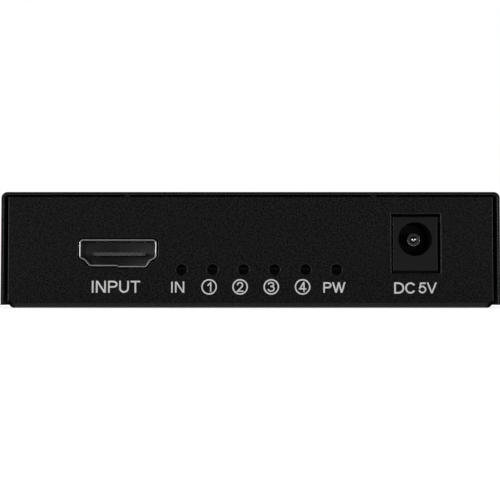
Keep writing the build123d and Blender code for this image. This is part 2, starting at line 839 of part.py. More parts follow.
# Thermal pad and heat sink on the chip
pad_bottom = board_top + chip_standoff + chip_height
with BuildPart() as thermal_pad:
    with BuildSketch(Plane.XY.offset(pad_bottom)):
        with Locations((chip_x, chip_y)):
            Rectangle(sink_size, sink_size)
    extrude(amount=pad_height)
save(thermal_pad, "thermal_pad")
with BuildPart() as heat_sink:
    with BuildSketch(Plane.XY.offset(pad_bottom + pad_height)):
        with Locations((chip_x, chip_y)):
            Rectangle(sink_size, sink_size)
    extrude(amount=sink_base)
    fin_pitch = (sink_size - fin_width) / (fin_count - 1)
    with BuildSketch(Plane.XY.offset(pad_bottom + pad_height + sink_base)):
        with Locations((chip_x, chip_y)):
            with GridLocations(fin_pitch, 0, fin_count, 1):
                Rectangle(fin_width, sink_size)
    extrude(amount=sink_height - sink_base)
save(heat_sink, "heat_sink")

# Control chip and its leads
control_x, control_y = on_board(control_shares)
control_chip = chip_body(
    control_x, control_y, control_size, control_size, control_height, chip_edge
)
save(control_chip, "control_chip")
control_lead = bent_lead(
    control_size / 2, control_height, lead_span, lead_sheet, lead_width
)
with BuildPart() as control_chip_leads:
    with Locations(
        lead_places(control_x, control_y, all_round, control_lead_count, control_lead_pitch)
    ):
        add(control_lead)
save(control_chip_leads, "control_chip_leads")

# Memory chips, with leads on their long sides
memory_x, memory_y = on_board(memory_shares)
memory_places = [
    (memory_x + memory_spacing * (place - (memory_count - 1) / 2), memory_y)
    for place in range(memory_count)
]
with BuildPart() as memory_chips:
    with BuildSketch(Plane.XY.offset(board_top + chip_standoff)):
        with Locations(memory_places):
            Rectangle(memory_width, memory_length)
    extrude(amount=memory_height)
    chamfer(memory_chips.edges().filter_by(Axis.Z), length=chip_edge)
save(memory_chips, "memory_chips")
memory_lead = bent_lead(
    memory_width / 2, memory_height, memory_lead_span, memory_lead_sheet, memory_lead_width
)
with BuildPart() as memory_leads:
    for x, y in memory_places:
        with Locations(lead_places(x, y, left_and_right, memory_lead_count, memory_lead_pitch)):
            add(memory_lead)
save(memory_leads, "memory_leads")

# Crystal in its pressed can
with BuildPart() as crystal:
    with BuildSketch(Plane.XY.offset(board_top)):
        with Locations(on_board(crystal_shares)):
            SlotOverall(crystal_length, crystal_width)
    extrude(amount=crystal_rim)
    with BuildSketch(Plane.XY.offset(board_top + crystal_rim)):
        with Locations(on_board(crystal_shares)):
            SlotOverall(crystal_length - 2 * crystal_rim, crystal_width - 2 * crystal_rim)
    extrude(amount=crystal_height - crystal_rim)
    fillet(crystal.edges().group_by(Axis.Z)[-1], radius=crystal_rim)
save(crystal, "crystal")

# Voltage regulators, each with its soldered tab
regulator_x, regulator_y = on_board(regulator_shares)
regulator_places = [
    (regulator_x, regulator_y + regulator_spacing * place) for place in range(regulator_count)
]
with BuildPart() as voltage_regulators:
    with BuildSketch(Plane.XY.offset(board_top)):
        with Locations(regulator_places):
            Rectangle(regulator_width, regulator_depth)
    extrude(amount=regulator_height)
    chamfer(voltage_regulators.edges().group_by(Axis.Z)[-1], length=chip_edge)
    with BuildSketch(Plane.XY.offset(board_top)):
        with Locations(
            [(x, y + (regulator_depth + tab_length) / 2) for x, y in regulator_places]
        ):
            Rectangle(tab_width, tab_length)
    extrude(amount=tab_sheet)
save(voltage_regulators, "voltage_regulators")

# Power coil
with BuildPart() as power_coil:
    with BuildSketch(Plane.XY.offset(board_top)) as coil_outline:
        with Locations(on_board(coil_shares)):
            Rectangle(coil_size, coil_size)
        fillet(coil_outline.vertices(), radius=coil_round)
    extrude(amount=coil_height)
    chamfer(power_coil.edges().group_by(Axis.Z)[-1], length=chip_edge)
save(power_coil, "power_coil")

# Filter capacitors: cans on square bases
can_x, can_y = on_board(can_shares)
can_places = [(can_x, can_y + can_spacing * place) for place in range(can_count)]
with BuildPart() as filter_capacitors:
    with BuildSketch(Plane.XY.offset(board_top)):
        with Locations(can_places):
            Rectangle(can_base, can_base)
    extrude(amount=can_base_height)
    with BuildSketch(Plane.XY.offset(board_top + can_base_height)):
        with Locations(can_places):
            Circle(can_diameter / 2)
    extrude(amount=can_height - can_base_height)
    fillet(filter_capacitors.edges().group_by(Axis.Z)[-1], radius=can_round)
save(filter_capacitors, "filter_capacitors")


def board_blocks(places, length, width, height):
    """Plain blocks on the board, one at each place, as one piece of separate solids."""
    with BuildPart() as blocks:
        with BuildSketch(Plane.XY.offset(board_top)):
            with Locations(places):
                Rectangle(length, width)
        extrude(amount=height)
        chamfer(blocks.edges().group_by(Axis.Z)[-1], length=height / 10)
    return blocks


power_fuse = board_blocks([on_board(fuse_shares)], fuse_length, fuse_width, fuse_height)
save(power_fuse, "power_fuse")
power_diode = board_blocks([on_board(diode_shares)], diode_width, diode_length, diode_height)
save(power_diode, "power_diode")

# Surge guards and resistors behind each video socket, and capacitors round the chip
sockets = [(input_x, 1)] + [(place, -1) for place in output_places]
guard_places = []
resistor_places = []
for socket_x, toward_middle in sockets:
    tail = toward_middle * (contact_end - mouth_y)
    for step in (-1, 1):
        guard_places.append(
            (socket_x + step * guard_spacing / 2, tail + toward_middle * guard_back_y)
        )
    for column in range(small_columns):
        resistor_places.append(
            (
                socket_x + small_pitch * (column - (small_columns - 1) / 2),
                tail + toward_middle * resistor_back_y,
            )
        )
surge_guards = board_blocks(guard_places, guard_length, guard_width, guard_height)
save(surge_guards, "surge_guards")
resistors = board_blocks(resistor_places, small_length, small_width, small_height)
save(resistors, "resistors")
chip_reach = chip_size / 2 + lead_span + capacitor_margin
capacitor_places = [
    (chip_x + side * chip_reach, chip_y + small_pitch * (row - (small_columns - 1) / 2))
    for side in (-1, 1)
    for row in range(small_columns)
]
ceramic_capacitors = board_blocks(capacitor_places, small_length, small_width, small_height)
save(ceramic_capacitors, "ceramic_capacitors")
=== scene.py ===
# %% [markdown]
# # A desktop video splitter
#
# The real object is a small box of folded steel sheet, powder coated in fine matt black. One panel
# holds the input socket, six lamp holes and the power socket, with white printed words below them.
# The opposite panel holds four output sockets. Every piece with a real size comes ready-made from the
# CAD model. What is left for Blender is what the eye reads as real: the coat's fine grain, plated
# sheet, moulded plastic, printed words, a studio and a camera.

from math import atan2, cos, degrees, hypot, pi, radians, sin

import bmesh
import bpy
from mathutils import Matrix, Vector


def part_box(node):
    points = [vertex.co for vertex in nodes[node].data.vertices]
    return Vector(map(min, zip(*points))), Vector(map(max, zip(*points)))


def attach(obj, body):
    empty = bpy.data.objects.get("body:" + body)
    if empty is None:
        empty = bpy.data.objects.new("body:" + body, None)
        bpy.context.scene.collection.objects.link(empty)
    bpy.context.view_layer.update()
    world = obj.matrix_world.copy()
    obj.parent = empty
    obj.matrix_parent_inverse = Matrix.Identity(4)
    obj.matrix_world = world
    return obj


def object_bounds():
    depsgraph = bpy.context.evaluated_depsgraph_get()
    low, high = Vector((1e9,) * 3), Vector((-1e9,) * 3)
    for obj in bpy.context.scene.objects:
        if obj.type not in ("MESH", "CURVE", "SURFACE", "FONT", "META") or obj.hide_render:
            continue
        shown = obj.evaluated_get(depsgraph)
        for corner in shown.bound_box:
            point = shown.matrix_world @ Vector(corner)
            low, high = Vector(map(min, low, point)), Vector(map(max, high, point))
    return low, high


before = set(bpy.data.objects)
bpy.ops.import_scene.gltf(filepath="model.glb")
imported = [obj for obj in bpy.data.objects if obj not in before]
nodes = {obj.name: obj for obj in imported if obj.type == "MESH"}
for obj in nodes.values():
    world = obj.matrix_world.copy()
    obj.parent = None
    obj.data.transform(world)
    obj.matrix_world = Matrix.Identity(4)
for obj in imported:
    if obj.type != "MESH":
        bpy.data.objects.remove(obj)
cad_low, cad_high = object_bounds()
MM = 0.001
print("box in mm", [round(side / MM, 2) for side in cad_high - cad_low])

# %% [markdown]
# ## The camera
#
# The photograph looks straight at the input panel from close by. A camera could be placed by eye, but
# two things in the picture give its place: the depth that shows inside the sockets, and the case's
# sides, which lean slightly outwards going down. They put it 220 mm in front of the panel and just
# above the table, tilted up by two and a half degrees. The lens follows from that distance and from
# the 96 mm of the panel's plane that the square picture frames.

# %% Place the camera
panel_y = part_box("bottom_tray")[0].y  # the outer face of the input panel
camera_distance = 220.2 * MM
camera_height = 1.45 * MM
aim_height = 11.06 * MM
camera_shift = -0.11 * MM
framed_width = 95.67 * MM
sensor_width = 36.0
nearest_seen, farthest_seen = 5 * MM, 20.0

camera_data = bpy.data.cameras.new("product_camera")
camera_data.sensor_width = sensor_width
camera_data.lens = sensor_width * camera_distance / framed_width
camera_data.clip_start = nearest_seen
camera_data.clip_end = farthest_seen
camera = bpy.data.objects.new("product_camera", camera_data)
bpy.context.scene.collection.objects.link(camera)
camera.location = (camera_shift, panel_y - camera_distance, camera_height)
tilt = atan2(aim_height - camera_height, camera_distance)
camera.rotation_euler = (pi / 2 + tilt, 0, 0)
bpy.context.scene.camera = camera
print("lens", round(camera_data.lens, 1), "mm, tilt", round(degrees(tilt), 2), "degrees")

# %% [markdown]
# ## Shared surface effects
#
# Powder coat, moulded plastic, silicone and ceramic all have the same kind of detail at different
# sizes: a fine grain that changes the colour a little, slow smudges that change the gloss, and small
# bumps. Photographs of each finish could be laid on as textures, but then every piece has to be
# unwrapped. Noise needs no unwrapping, so one node group makes all three from noise, and each material
# gives it its own numbers. It reads object coordinates, so the grain has a real size in millimetres
# and stays on its piece.

# %% What a surface group takes and gives
FLOAT, COLOUR, VECTOR = "NodeSocketFloat", "NodeSocketColor", "NodeSocketVector"
SURFACE_INPUTS = [
    ("Colour", COLOUR),
    ("Variation", FLOAT),
    ("Grain Size", FLOAT),
    ("Roughness", FLOAT),
    ("Smudge", FLOAT),
    ("Bump Height", FLOAT),
]
SURFACE_OUTPUTS = [("Colour", COLOUR), ("Roughness", FLOAT), ("Normal", VECTOR)]
print("takes", [name for name, kind in SURFACE_INPUTS])
print("gives", [name for name, kind in SURFACE_OUTPUTS])

# %% [markdown]
# A node tree is built by adding nodes and linking their sockets. A socket that is fed by another node
# gets a link, and one that isn't gets a number. Three small helpers keep the cells below short.

# %% Helpers that add nodes, feed sockets and start a group
def add_node(tree, kind, **settings):
    """Adds a node and sets its properties."""
    node = tree.nodes.new(kind)
    for key, value in settings.items():
        setattr(node, key, value)
    return node


def feed(tree, value, socket):
    """Links another node's output to a socket, or sets the socket to a plain value."""
    if isinstance(value, bpy.types.NodeSocket):
        tree.links.new(value, socket)
    else:
        socket.default_value = value


def new_group(name):
    """An empty surface group, with its input node and its output node."""
    group = bpy.data.node_groups.new(name, "ShaderNodeTree")
    for in_out, sockets in (("INPUT", SURFACE_INPUTS), ("OUTPUT", SURFACE_OUTPUTS)):
        for socket_name, socket_type in sockets:
            group.interface.new_socket(name=socket_name, in_out=in_out, socket_type=socket_type)
    return group, add_node(group, "NodeGroupInput"), add_node(group, "NodeGroupOutput")


print("node groups so far", len(bpy.data.node_groups))

# %% [markdown]
# Three more helpers each stand for one node that works something out: sums, ranges and noise.

# %% Helpers that work values out
def arithmetic(tree, operation, first, second):
    """The result of a Math node."""
    node = add_node(tree, "ShaderNodeMath", operation=operation)
    feed(tree, first, node.inputs[0])
    feed(tree, second, node.inputs[1])
    return node.outputs["Value"]


def map_range(tree, source, low, high, to_low, to_high):
    """A value mapped from one range to another, and held inside the new one."""
    node = add_node(tree, "ShaderNodeMapRange")
    ends = {"Value": source, "From Min": low, "From Max": high, "To Min": to_low, "To Max": to_high}
    for key, value in ends.items():
        feed(tree, value, node.inputs[key])
    return node.outputs["Result"]


def noise(tree, place, scale, detail):
    """A noise value between 0 and 1, with its scale in spots to the metre."""
    node = add_node(tree, "ShaderNodeTexNoise")
    for key, value in {"Vector": place, "Scale": scale, "Detail": detail}.items():
        feed(tree, value, node.inputs[key])
    return node.outputs["Fac"]


# Noise averages a half and rarely leaves this range, so the range is stretched to the full variation.
NOISE_LOW, NOISE_MIDDLE, NOISE_HIGH = 0.36, 0.5, 0.64
print("noise is read from", NOISE_LOW, "to", NOISE_HIGH)

# %% [markdown]
# The group itself has two noises. The fine one tints the colour and lifts the surface, and the slow
# one moves the roughness up and down. Squeezing the fine noise's coordinates along one axis turns its
# spots into lines, which the metals below use.

# %% Build a surface group
SMUDGE_DETAIL = 2.0


def surface_group(name, detail, smudge_size, squeeze=None):
    """A group of grain and smudges; squeeze scales the grain's coordinates along the axes."""
    group, entry, leave = new_group(name)
    place = add_node(group, "ShaderNodeTexCoord").outputs["Object"]
    grain_place = place
    if squeeze:
        mapping = add_node(group, "ShaderNodeMapping")
        mapping.inputs["Scale"].default_value = squeeze
        group.links.new(place, mapping.inputs["Vector"])
        grain_place = mapping.outputs["Vector"]
    spots_per_metre = arithmetic(group, "DIVIDE", 1.0, entry.outputs["Grain Size"])
    grain = noise(group, grain_place, spots_per_metre, detail)
    slow = noise(group, place, 1 / smudge_size, SMUDGE_DETAIL)
    smudge = arithmetic(group, "SUBTRACT", slow, NOISE_MIDDLE)

    lightest = arithmetic(group, "ADD", 1.0, entry.outputs["Variation"])
    darkest = arithmetic(group, "SUBTRACT", 1.0, entry.outputs["Variation"])
    tint = add_node(group, "ShaderNodeVectorMath", operation="SCALE")
    group.links.new(entry.outputs["Colour"], tint.inputs["Vector"])
    factor = map_range(group, grain, NOISE_LOW, NOISE_HIGH, darkest, lightest)
    group.links.new(factor, tint.inputs["Scale"])
    group.links.new(tint.outputs["Vector"], leave.inputs["Colour"])

    swing = arithmetic(group, "MULTIPLY", smudge, entry.outputs["Smudge"])
    roughness = arithmetic(group, "ADD", entry.outputs["Roughness"], swing)
    group.links.new(roughness, leave.inputs["Roughness"])

    bump = add_node(group, "ShaderNodeBump")
    bump.inputs["Strength"].default_value = 1.0
    bump.inputs["Distance"].default_value = 1.0
    height = arithmetic(group, "MULTIPLY", grain, entry.outputs["Bump Height"])
    group.links.new(height, bump.inputs["Height"])
    group.links.new(bump.outputs["Normal"], leave.inputs["Normal"])
    print("made", group.name, "with", len(group.nodes), "nodes")
    return group


grain_group = surface_group("surface_grain", detail=2.0, smudge_size=14 * MM)

# %% [markdown]
# Rolled and plated sheet has fine lines instead of grain, all running one way. They could be painted
# on an image, but the same noise gives that look for nothing, with its coordinates shrunk along Y, so
# that its spots are drawn out into lines from front to rear.

# %% Lines of rolled metal
line_group = surface_group("rolled_lines", detail=3.0, smudge_size=5 * MM, squeeze=(1.0, 0.06, 1.0))

# %% [markdown]
# ## Materials
#
# A material here is one Principled shader and one of the two groups. Numbers that are the same all
# over, such as how metallic it is, are set on the shader itself. Colours are written as they should
# look on screen, from 0 to 255, and turned into the linear values that the shader works in.

# %% A function that makes one material
def linear(level):
    """The linear value of a screen level from 0 to 255, by the sRGB curve."""
    share = level / 255
    return share / 12.92 if share <= 0.04045 else ((share + 0.055) / 1.055) ** 2.4


def surface(name, levels, roughness, group=grain_group, metallic=0.0, specular=0.5,
            variation=0.1, grain=0.3, smudge=0.1, bump=0.004, coat=0.0):
    """A material from screen levels; grain and bump are in millimetres."""
    material = bpy.data.materials.new(name)
    material.use_nodes = True
    tree = material.node_tree
    shader = tree.nodes["Principled BSDF"]
    shader.inputs["Metallic"].default_value = metallic
    shader.inputs["Specular IOR Level"].default_value = specular
    shader.inputs["Coat Weight"].default_value = coat
    effect = add_node(tree, "ShaderNodeGroup", node_tree=group)
    colour = [linear(level) for level in levels] + [1.0]
    values = {"Colour": colour, "Variation": variation, "Grain Size": grain * MM,
              "Roughness": roughness, "Smudge": smudge, "Bump Height": bump * MM}
    for key, value in values.items():
        effect.inputs[key].default_value = value
    tree.links.new(effect.outputs["Colour"], shader.inputs["Base Color"])
    tree.links.new(effect.outputs["Roughness"], shader.inputs["Roughness"])
    tree.links.new(effect.outputs["Normal"], shader.inputs["Normal"])
    material.diffuse_color = colour
    return material


print("a screen level of 128 is", round(linear(128), 3), "in linear light")

# %% [markdown]
# ### The case's powder coat
#
# Fine matt powder coat is a skin of tiny melted grains, about a third of a millimetre apart. In the
# photograph it is almost black and perfectly neutral, with a speckle that is just visible. Modelled
# grains would take millions of faces, and at this size they would look no different from noise. The
# gloss is kept very low, because the speckle, not a reflection, is what shows. The coat on the cut
# edges is smoother, and a later cell says why. The screws are blackened steel, and the printing is
# matt white ink.

# %% Case, screws and printing
powder_coat = surface("powder_coat_black", (19, 19, 19), roughness=0.62, specular=0.07,
                      variation=1.0, grain=0.33, smudge=0.08, bump=0.012)
edge_coat = surface("powder_coat_edge", (19, 19, 19), roughness=0.3, specular=0.2,
                    variation=1.0, grain=0.33, smudge=0.08, bump=0.004)
screw_black = surface("screw_black_oxide", (30, 30, 31), roughness=0.38, specular=0.5,
                      variation=0.15, grain=0.15, smudge=0.15, bump=0.002)
printed_ink = surface("printed_ink_white", (213, 213, 212), roughness=0.6, specular=0.2,
                      variation=0.05, grain=0.12, smudge=0.05, bump=0.003)
print("outside", [material.name for material in (powder_coat, edge_coat, screw_black, printed_ink)])

# %% [markdown]
# ### Plated sheet, contacts and mouldings
#
# The sockets' shells are thin steel sheet with satin nickel on it, and their mouths have a rounded lip
# that picks up the lamps at the sides. The power pin is the same nickel, polished. Metal could be a
# grey paint with a bright reflection, but a metallic shader tints the reflection itself, as plating
# does. The mouldings inside are matt plastics. The video sockets' one is a dark grey, and the power
# socket's is black. The lamps are off, and their mouldings and windows are near black: partly their
# own dark colour, and partly painted shade for the shade inside the small lamp holes.

# %% Metals and plastics that show
nickel_sheet = surface("nickel_plated_sheet", (150, 150, 149), roughness=0.3, group=line_group,
                       metallic=1.0, variation=0.06, grain=0.12, smudge=0.12, bump=0.0006)
nickel_pin = surface("nickel_plated_pin", (146, 146, 145), roughness=0.1, group=line_group,
                     metallic=1.0, variation=0.04, grain=0.2, smudge=0.1, bump=0.0004)
contact_plating = surface("contact_plating", (74, 73, 72), roughness=0.55, group=line_group,
                          metallic=0.4, variation=0.1, grain=0.1, smudge=0.1, bump=0.0004)
spring_sheet = surface("spring_sheet", (165, 165, 163), roughness=0.4, group=line_group,
                       metallic=1.0, variation=0.1, grain=0.15, smudge=0.15, bump=0.0006)
socket_moulding = surface("socket_moulding", (72, 72, 72), roughness=0.5, specular=0.3,
                          variation=0.12, grain=0.2, smudge=0.1, bump=0.002)
jack_moulding = surface("jack_moulding", (16, 16, 16), roughness=0.42, specular=0.15,
                        variation=0.08, grain=0.35, smudge=0.15, bump=0.002)
# Painted shade: the lamps' moulding and window are made near black partly to stand for the shade in
# the lamp holes.
lamp_moulding_and_painted_shade = surface("lamp_moulding_and_painted_shade", (6, 6, 6), roughness=0.6, specular=0.05,
                        variation=0.08, grain=0.2, smudge=0.1, bump=0.001)
lamp_epoxy_and_painted_shade = surface("lamp_epoxy_and_painted_shade", (12, 12, 11), roughness=0.3, specular=0.1,
                     variation=0.06, grain=0.25, smudge=0.05, bump=0.0005, coat=0.1)
print("materials so far", len(bpy.data.materials))

# %% [markdown]
# ### The board and its pieces
#
# They are hidden while the cover is on, but for the board's edge behind the lamp holes, so one grey
# for all of them would do in the picture. But a part that can be taken apart needs them finished:
# black solder mask, black moulding compound, tinned leads, a black heat sink on a soft pad, bare
# aluminium cans and small ceramic blocks. The mask is near black partly as its own colour and partly
# as painted shade, where the board's edge shows inside the lamp holes.

# %% Materials of the board, its posts and its chips
# Painted shade: the mask is near black partly to stand for the shade where the board's edge shows in
# the lamp holes.
solder_mask_and_painted_shade = surface("solder_mask_black", (6, 7, 7), roughness=0.5, specular=0.1,
                      variation=0.15, grain=0.5, smudge=0.15, bump=0.003, coat=0.1)
chip_compound = surface("chip_compound", (36, 36, 38), roughness=0.55,
                        variation=0.1, grain=0.15, bump=0.002)
tinned_lead = surface("tinned_lead", (205, 205, 208), roughness=0.3, group=line_group,
                      metallic=1.0, variation=0.05, grain=0.15, bump=0.0005)
zinc_plate = surface("zinc_plate", (198, 200, 206), roughness=0.34, group=line_group,
                     metallic=1.0, variation=0.06, grain=0.3, bump=0.001)
pad_silicone = surface("pad_silicone", (160, 172, 182), roughness=0.75,
                       variation=0.08, grain=0.4, bump=0.01)
black_anodised = surface("black_anodised", (38, 38, 40), roughness=0.4, group=line_group,
                         metallic=0.6, variation=0.1, grain=0.25, bump=0.001)
print("materials so far", len(bpy.data.materials))

# %% Materials of the small parts
crystal_can = surface("crystal_can", (208, 208, 212), roughness=0.26, group=line_group,
                      metallic=1.0, variation=0.05, grain=0.3, bump=0.0006)
bare_aluminium = surface("bare_aluminium", (205, 206, 210), roughness=0.3, group=line_group,
                         metallic=1.0, variation=0.05, grain=0.3, bump=0.0008)
ferrite = surface("ferrite", (52, 52, 55), roughness=0.6, variation=0.15, grain=0.3, bump=0.006)
fuse_ceramic = surface("fuse_ceramic", (206, 200, 180), roughness=0.5,
                       variation=0.06, grain=0.3, bump=0.003)
resistor_film = surface("resistor_film", (40, 40, 44), roughness=0.4,
                        variation=0.1, grain=0.2, bump=0.001)
capacitor_body = surface("capacitor_body", (168, 138, 104), roughness=0.45,
                         variation=0.1, grain=0.2, bump=0.002)
print("materials so far", len(bpy.data.materials))

# %% [markdown]
# ## Dress the CAD pieces
#
# Each ready-made piece gets its material by name. A line of code for each piece would do, but a table
# shows at a glance what is made of what. The last line lists any piece that was missed.

# %% Which piece gets which material
socket_names = ["input", "output_1", "output_2", "output_3", "output_4"]
lamp_names = ["lamp_input", "lamp_output_1", "lamp_output_2", "lamp_output_3", "lamp_output_4",
              "lamp_power"]
dress = {
    powder_coat: ["top_cover", "bottom_tray"],
    screw_black: ["cover_screws"],
    nickel_sheet: [f"{name}_shell" for name in socket_names],
    socket_moulding: [f"{name}_insulator" for name in socket_names],
    contact_plating: [f"{name}_contacts" for name in socket_names],
    jack_moulding: ["power_jack_body"],
    nickel_pin: ["power_pin", "pin_terminal"],
    spring_sheet: ["power_spring", "spring_terminal", "switch_contact"],
    lamp_moulding_and_painted_shade: lamp_names,
    lamp_epoxy_and_painted_shade: ["lamp_windows"],
    solder_mask_and_painted_shade: ["main_board"],
    zinc_plate: ["board_posts", "board_screws"],
    chip_compound: ["splitter_chip", "control_chip", "memory_chips", "voltage_regulators",
                    "power_diode", "surge_guards"],
    tinned_lead: ["splitter_chip_leads", "control_chip_leads", "memory_leads"],
    pad_silicone: ["thermal_pad"],
    black_anodised: ["heat_sink"],
    crystal_can: ["crystal"],
    bare_aluminium: ["filter_capacitors"],
    ferrite: ["power_coil"],
    fuse_ceramic: ["power_fuse"],
    resistor_film: ["resistors"],
    capacitor_body: ["ceramic_capacitors"],
}
for material, names in dress.items():
    for name in names:
        node = nodes[name]
        node.data.materials.clear()
        node.data.materials.append(material)
dressed = {name for names in dress.values() for name in names}
print("dressed", len(dressed), "left", sorted(set(nodes) - dressed))

# %% [markdown]
# ## Smooth coat on the cut edges
#
# Molten coat draws back from a sharp edge and dries smooth there, so the cut edges of the sheet catch
# the side lamps as thin lines. The shader could look for edges by itself, but the faces are already
# there: they are the rounds near either end of the case, whose normal leans away from the
# front-to-rear axis. A second material on just those faces is simpler.

# %% Find the rounds and give them the smoother coat
edge_reach = 1.0 * MM  # from either end of the case
least_outward, most_outward = 0.1, 0.99  # how far a round's normal points to the front or rear
for name in dress[powder_coat]:
    mesh = nodes[name].data
    mesh.materials.append(edge_coat)
    rounds = [face for face in mesh.polygons
              if abs(face.center.y) > cad_high.y - edge_reach
              and least_outward < abs(face.normal.y) < most_outward]
    for face in rounds:
        face.material_index = 1
    print(name, "faces on the cut edges", len(rounds))

# %% [markdown]
# ## Printed words
#
# The words are ink, screen printed on the coat: a skin two hundredths of a millimetre thick. They
# could be painted with a texture, but real thin solids keep sharp edges at any distance. The letters
# are plain sans-serif, drawn the way a sign writer does it: each one is a few strokes of one pen. A
# path runs in a box from (0, 0) to (1, 1), and its ink lies half a pen's width to each side. Upright
# and curved strokes get square ends. Leaning ones are cut level at top and bottom, as in an N or a V.

# %% Curves of the letters
SQUARE, LEVEL, CLOSED = "square", "level", "closed"


def arc(x, y, radius_x, radius_y, start, end, steps=16):
    """Points of an elliptical arc from start to end, in degrees, anticlockwise from +X."""
    angles = [radians(start + (end - start) * step / steps) for step in range(steps + 1)]
    return [(x + radius_x * cos(angle), y + radius_y * sin(angle)) for angle in angles]


# Places and radii are shares of the letter's box.
stem = (SQUARE, [(0, 0), (0, 1)])
bar_through_middle = (SQUARE, [(0.5, 0), (0.5, 1)])
p_bowl = [(0, 1)] + arc(0.56, 0.745, 0.44, 0.255, 90, -90) + [(0, 0.49)]
d_bowl = [(0, 1)] + arc(0.42, 0.5, 0.58, 0.5, 90, -90) + [(0, 0)]
u_bowl = [(0, 1)] + arc(0.5, 0.37, 0.5, 0.37, 180, 360) + [(1, 1)]
c_bowl = arc(0.5, 0.5, 0.5, 0.5, 42, 318, 24)
full_oval = arc(0.5, 0.5, 0.5, 0.5, 0, 360, 32)
two_curve = arc(0.49, 0.71, 0.49, 0.29, 170, -35) + [(0, 0), (1, 0)]
three_high = arc(0.46, 0.775, 0.46, 0.225, 165, -90)
three_low = arc(0.48, 0.28, 0.52, 0.28, 90, -160)
five_bowl = arc(0.47, 0.33, 0.53, 0.33, 148, -158)
print("points in the bowl of a P", len(p_bowl), "and in an O", len(full_oval))

# %% Table of the letters
# Each letter: width of its ink, space before and after as shares of its height, then its strokes.
letters = {
    "I": (0.16, 0.09, 0.09, [bar_through_middle]),
    "N": (0.79, 0.09, 0.09, [stem, (SQUARE, [(1, 0), (1, 1)]), (LEVEL, [(0, 1), (1, 0)])]),
    "P": (0.75, 0.09, 0.05, [stem, (SQUARE, p_bowl)]),
    "U": (0.77, 0.09, 0.09, [(SQUARE, u_bowl)]),
    "T": (0.76, 0.05, 0.05, [(SQUARE, [(0, 1), (1, 1)]), bar_through_middle]),
    "W": (1.25, 0.0, 0.0, [(LEVEL, [(0, 1), (0.27, 0)]), (LEVEL, [(0.27, 0), (0.5, 1)]),
                           (LEVEL, [(0.5, 1), (0.73, 0)]), (LEVEL, [(0.73, 0), (1, 1)])]),
    "D": (0.82, 0.09, 0.05, [stem, (SQUARE, d_bowl)]),
    "C": (0.86, 0.03, 0.05, [(SQUARE, c_bowl)]),
    "O": (0.94, 0.05, 0.05, [(CLOSED, full_oval)]),
    "V": (0.88, 0.0, 0.0, [(LEVEL, [(0, 1), (0.5, 0)]), (LEVEL, [(0.5, 0), (1, 1)])]),
    "1": (0.45, 0.1, 0.1, [(SQUARE, [(1, 0), (1, 1)]), (SQUARE, [(0.9, 0.93), (0.12, 0.68)])]),
    "2": (0.65, 0.05, 0.05, [(SQUARE, two_curve)]),
    "3": (0.7, 0.05, 0.05, [(SQUARE, three_high), (SQUARE, three_low)]),
    "4": (0.76, 0.03, 0.03, [(SQUARE, [(0.72, 0), (0.72, 1)]), (SQUARE, [(0, 0.27), (1, 0.27)]),
                             (LEVEL, [(0.72, 1), (0.0, 0.25)])]),
    "5": (0.66, 0.06, 0.04, [(SQUARE, [(0.9, 1), (0.2, 1), (0.06, 0.5)]), (SQUARE, five_bowl)]),
}
print("letters", "".join(letters))

# %% [markdown]
# A pen stroke has two edges, each half a pen's width from the path. At a corner of the path they meet
# on the line that halves the angle, further out the sharper the turn, so the stroke keeps its width.

# %% The two edges of a pen stroke
def pen_edges(ends, path, pen):
    """The left and right edge of a pen stroke along a path of vectors."""
    runs = [(after - before).normalized() for before, after in zip(path, path[1:])]
    if ends == CLOSED:
        path, arriving, leaving = path[:-1], runs[-1:] + runs[:-1], runs
    else:
        arriving, leaving = runs[:1] + runs, runs + runs[-1:]
    left, right = [], []
    for point, come, go in zip(path, arriving, leaving):
        middle = (come + go).normalized()
        across = Vector((-middle.y, middle.x)) * pen / 2 / middle.dot(go)
        if ends == LEVEL:
            across = Vector((-pen / 2 / go.y, 0))
        left.append(point + across)
        right.append(point - across)
    if ends == SQUARE:
        for edge in (left, right):
            edge[0] = edge[0] - runs[0] * pen / 2
            edge[-1] = edge[-1] + runs[-1] * pen / 2
    return left, right


left_edge, right_edge = pen_edges(SQUARE, [Vector(point) for point in stem[1]], pen=0.2)
print("a pen of 0.2 draws a stem", round((left_edge[0] - right_edge[0]).length, 3), "wide")

# %% [markdown]
# The two edges become two rows of mesh edges. Bridging them gives the stroke's flat face, and
# extruding that gives the ink its thickness. A curve object with a bevel could do the same, but it
# rounds the ink's edges and can't cut a stroke level.

# %% One stroke as a thin solid
def add_stroke(bm, ends, path, box, pen, thickness):
    """Adds one stroke of a letter whose ink fills a box (left, right, low, high)."""
    left, right, low, high = box
    inset_x = inset_y = pen / 2
    if ends == LEVEL:
        run, rise = (path[1][axis] - path[0][axis] for axis in (0, 1))
        inset_x = pen / 2 * hypot(run * (right - left), rise * (high - low)) / abs(rise * (high - low))
        inset_y = 0
    points = [Vector((left + inset_x + x * (right - left - 2 * inset_x),
                      low + inset_y + y * (high - low - 2 * inset_y))) for x, y in path]
    edges = []
    for line in pen_edges(ends, points, pen):
        corners = [bm.verts.new((point.x, point.y, 0)) for point in line]
        following = corners[1:] + (corners[:1] if ends == CLOSED else [])
        edges += [bm.edges.new(pair) for pair in zip(corners, following)]
    flat = bmesh.ops.bridge_loops(bm, edges=edges)["faces"]
    grown = bmesh.ops.extrude_face_region(bm, geom=flat)["geom"]
    lifted = [item for item in grown if isinstance(item, bmesh.types.BMVert)]
    bmesh.ops.translate(bm, verts=lifted, vec=(0, 0, thickness))


ink_thickness = 0.02 * MM
print("ink is", ink_thickness / MM, "mm thick")

# %% [markdown]
# The ink is drawn lying down and then stood up on a panel's outer face. It rides on the case. A mark
# on the rear panel is turned half way round first. It rides on the case, and
# takes its place in the case's black slot. A mark on the rear panel is turned half way round first.

# %% Stand the ink on a panel
FRONT, REAR = 0.0, pi


